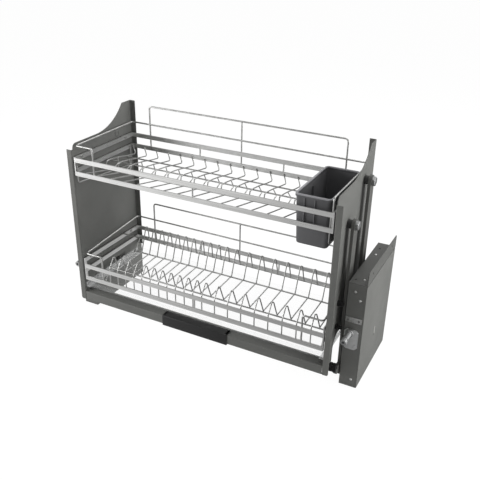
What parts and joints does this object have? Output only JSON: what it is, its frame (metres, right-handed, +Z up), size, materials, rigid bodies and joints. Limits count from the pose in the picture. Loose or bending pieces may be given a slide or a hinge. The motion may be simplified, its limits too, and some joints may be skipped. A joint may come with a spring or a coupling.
{
  "type": "pull-down dish rack",
  "caption": "Pull-down dish rack for a wall cabinet, with side housings, swinging lift arms, bowl and plate shelves, cutlery box and drip tray.",
  "frame": {"origin": "centre of the width and depth at the foot of the side housings, where the fitting stands in its cabinet", "axes": "+X to the right as seen from the front, +Y to the back of the cabinet, +Z up"},
  "size_m": [0.864, 0.3134, 0.591],
  "materials": {
    "coated_panel": "fine textured powder coat, satin",
    "coated_housing": "fine textured powder coat, satin",
    "coated_arm": "satin powder coat",
    "rail_steel": "brushed stainless, satin",
    "wire_steel": "electropolished stainless wire",
    "zinc_steel": "zinc plated, satin",
    "bright_chrome": "bright chrome",
    "gauge_aluminium": "satin anodised",
    "grip_plastic": "moulded, fine grain",
    "box_plastic": "moulded, fine grain",
    "spacer_plastic": "moulded, satin",
    "black_rubber": "matt",
    "cylinder_paint": "smooth black enamel",
    "tray_plastic": "clear moulded",
    "sector_steel": "machined, oiled",
    "bush_plastic": "moulded acetal"
  },
  "bodies": {
    "frame": {"right_housing": "coated_housing", "left_housing": "coated_housing", "right_cover": "coated_housing", "left_cover": "coated_housing", "adjuster_plates": "bright_chrome", "gauge_strips": "gauge_aluminium", "housing_screws": "zinc_steel", "cover_screws": "zinc_steel", "shaft_bushings": "bush_plastic", "lift_cylinders": "cylinder_paint"},
    "right_adjuster_body": {"right_adjuster": "bright_chrome"},
    "left_adjuster_body": {"left_adjuster": "bright_chrome"},
    "right_front_link": {"right_front_arm": "coated_arm", "right_front_shaft": "zinc_steel", "right_bumper": "black_rubber"},
    "right_rear_link": {"right_rear_arm": "coated_arm", "right_rear_shaft": "zinc_steel", "right_sector": "sector_steel"},
    "left_front_link": {"left_front_arm": "coated_arm", "left_front_shaft": "zinc_steel", "left_bumper": "black_rubber"},
    "left_rear_link": {"left_rear_arm": "coated_arm", "left_rear_shaft": "zinc_steel", "left_sector": "sector_steel"},
    "right_rod": {"right_rack_rod": "sector_steel"},
    "left_rod": {"left_rack_rod": "sector_steel"},
    "rack": {"right_panel": "coated_panel", "left_panel": "coated_panel", "handle_bar": "coated_panel", "bar_brackets": "zinc_steel", "grip": "grip_plastic", "bar_screws": "zinc_steel", "pivot_bolts": "bright_chrome", "pivot_nuts": "zinc_steel", "pivot_spacers": "spacer_plastic", "arm_buffers": "black_rubber", "upper_frame": "rail_steel", "upper_guard": "wire_steel", "bowl_rack": "wire_steel", "end_hangers": "wire_steel", "box_cradle": "wire_steel", "lower_frame": "rail_steel", "lower_guard": "wire_steel", "plate_rack": "wire_steel", "shelf_screws": "zinc_steel", "tray_runners": "zinc_steel"},
    "tray": {"drip_tray": "tray_plastic"},
    "box": {"cutlery_box": "box_plastic"}
  },
  "joints": [
    {"name": "lift", "type": "hinge", "parent": "frame", "child": "right_front_link", "pos_m": [0.379, -0.05925, 0.029], "axis": [1, 0, 0], "range_deg": [0, 100]},
    {"name": "rack_level", "type": "hinge", "parent": "right_front_link", "child": "rack", "pos_m": [0.379, -0.05925, 0.436], "axis": [1, 0, 0], "range_deg": [-100, 0]},
    {"name": "right_rear_swing", "type": "hinge", "parent": "frame", "child": "right_rear_link", "pos_m": [0.379, 0.04025, 0.104], "axis": [1, 0, 0], "range_deg": [0, 100]},
    {"name": "left_front_swing", "type": "hinge", "parent": "frame", "child": "left_front_link", "pos_m": [-0.379, -0.05925, 0.029], "axis": [1, 0, 0], "range_deg": [0, 100]},
    {"name": "left_rear_swing", "type": "hinge", "parent": "frame", "child": "left_rear_link", "pos_m": [-0.379, 0.04025, 0.104], "axis": [1, 0, 0], "range_deg": [0, 100]},
    {"name": "right_rod_slide", "type": "slide", "parent": "frame", "child": "right_rod", "axis": [0, -1, 0], "range_m": [0, 0.0524]},
    {"name": "left_rod_slide", "type": "slide", "parent": "frame", "child": "left_rod", "axis": [0, -1, 0], "range_m": [0, 0.0524]},
    {"name": "right_adjuster_turn", "type": "hinge", "parent": "frame", "child": "right_adjuster_body", "pos_m": [0.4017, -0.11375, 0.162], "axis": [0, 1, 0], "continuous": true},
    {"name": "left_adjuster_turn", "type": "hinge", "parent": "frame", "child": "left_adjuster_body", "pos_m": [-0.4017, -0.11375, 0.162], "axis": [0, 1, 0], "continuous": true},
    {"name": "tray_slide", "type": "slide", "parent": "rack", "child": "tray", "axis": [0, -1, 0], "range_m": [0, 0.19]},
    {"name": "box_lift", "type": "slide", "parent": "rack", "child": "box", "axis": [0, 0, 1], "range_m": [0, 0.14]}
  ],
  "couplings": [
    {"joint": "rack_level", "follows": "lift", "ratio": -1},
    {"joint": "right_rear_swing", "follows": "lift", "ratio": 1},
    {"joint": "left_front_swing", "follows": "lift", "ratio": 1},
    {"joint": "left_rear_swing", "follows": "lift", "ratio": 1},
    {"joint": "right_rod_slide", "follows": "lift", "m_per_rad": 0.03},
    {"joint": "left_rod_slide", "follows": "lift", "m_per_rad": 0.03}
  ]
}
